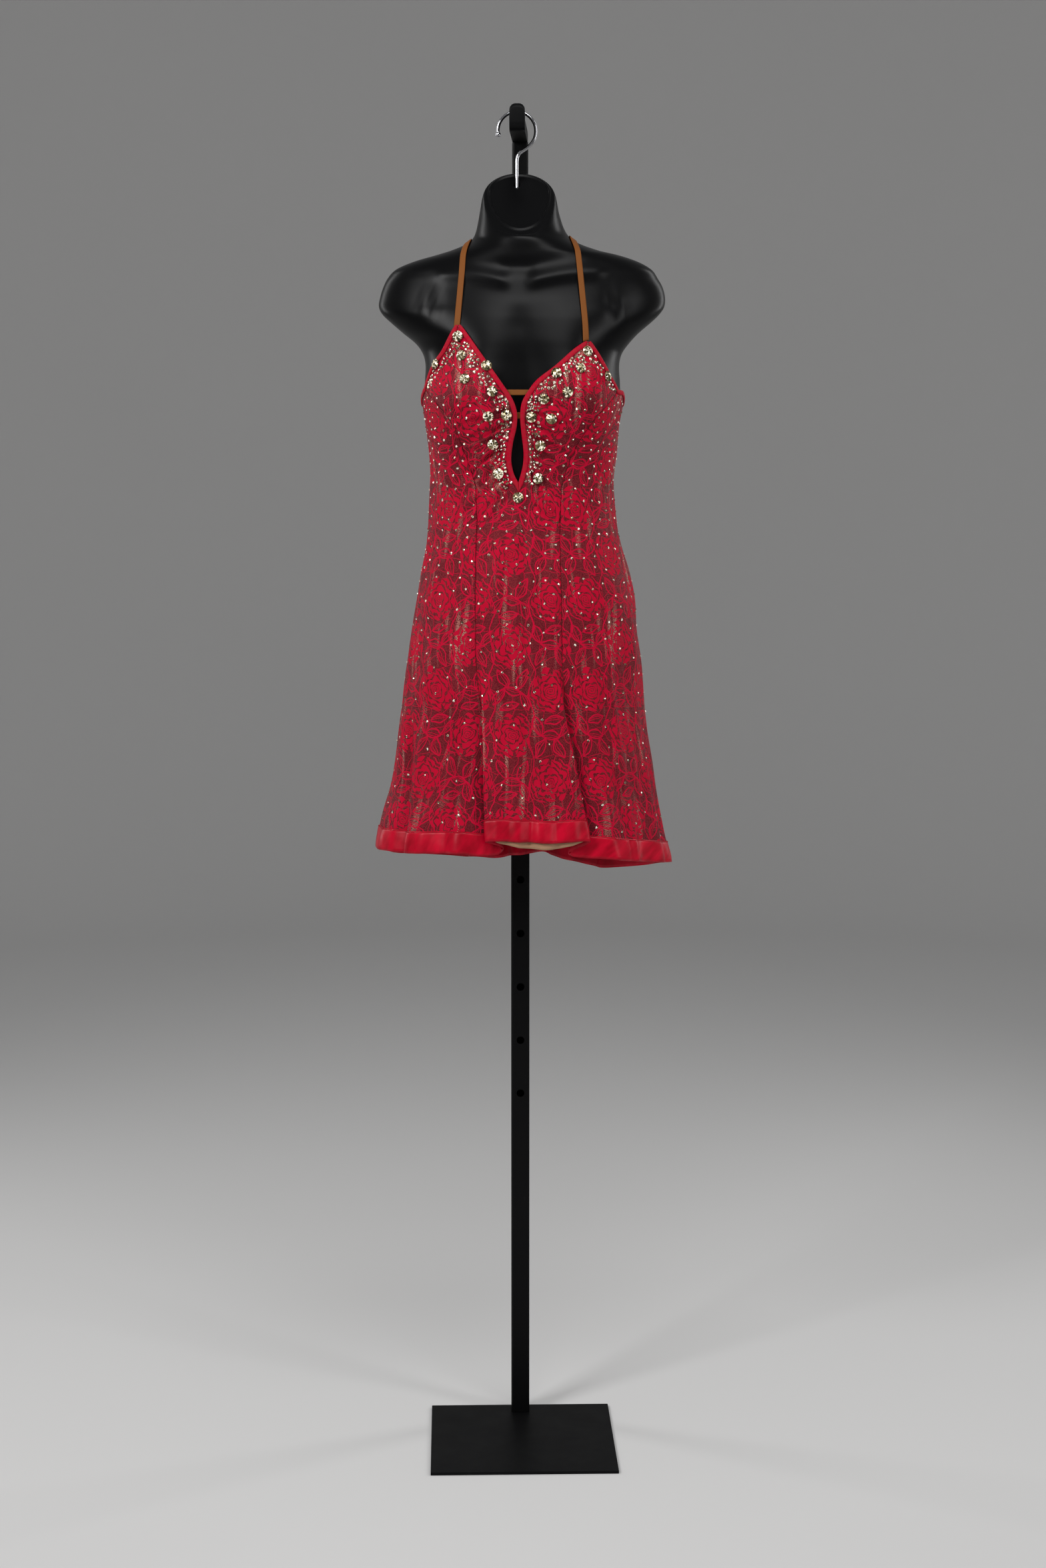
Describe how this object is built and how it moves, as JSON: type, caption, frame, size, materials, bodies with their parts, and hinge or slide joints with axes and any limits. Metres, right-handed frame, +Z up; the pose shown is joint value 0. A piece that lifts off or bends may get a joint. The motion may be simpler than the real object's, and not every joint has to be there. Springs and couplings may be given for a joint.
{
  "type": "salsa dance dress on a dress form stand",
  "caption": "Short lace salsa dress with satin hem, keyhole front and stones, on a limbless dress form that hangs by a hook from a telescoping stand.",
  "frame": {"origin": "the middle of the base plate's underside, where the stand rests on the floor", "axes": "+Z up, the dress faces -Y, +X to the right as seen from the front"},
  "size_m": [0.4004, 0.2784, 1.8205],
  "materials": {
    "lace": "crimson floral lace over a tan lining, matt",
    "satin": "bright red satin ribbon with soft highlights",
    "lining": "tan knit lining, matt",
    "elastic": "tan elastic with a fine rib",
    "stone": "champagne cut glass with a foil back",
    "form": "black moulded plastic with a satin sheen",
    "chrome": "bright plated wire",
    "stand": "black powder coat"
  },
  "bodies": {
    "stand": {"base_plate": "stand", "pole_outer": "stand"},
    "hung_dress": {"front_center": "lace", "side_front_left": "lace", "side_front_right": "lace", "back": "lace", "hem_band_front": "satin", "hem_band_back": "satin", "lining_hem": "lining", "binding_neck_left": "lace", "binding_neck_right": "lace", "binding_arm_left": "lace", "binding_arm_right": "lace", "binding_back": "lace", "bust_strap": "elastic", "keyhole_tab": "elastic", "strap_left": "elastic", "strap_right": "elastic", "stone_01": "stone", "stone_02": "stone", "stone_03": "stone", "stone_04": "stone", "stone_05": "stone", "stone_06": "stone", "stone_07": "stone", "stone_08": "stone", "stone_09": "stone", "stone_10": "stone", "stone_11": "stone", "stone_12": "stone", "stone_13": "stone", "stone_14": "stone", "stone_15": "stone", "stone_16": "stone", "stone_17": "stone", "stone_18": "stone", "stone_19": "stone", "stone_20": "stone", "stone_21": "stone", "dress_form": "form", "hook": "chrome", "pole_inner": "stand", "hanger_arm": "stand"}
  },
  "joints": [
    {"name": "height_slide", "type": "slide", "parent": "stand", "child": "hung_dress", "axis": [0, 0, 1], "range_m": [-0.381, 0]}
  ]
}
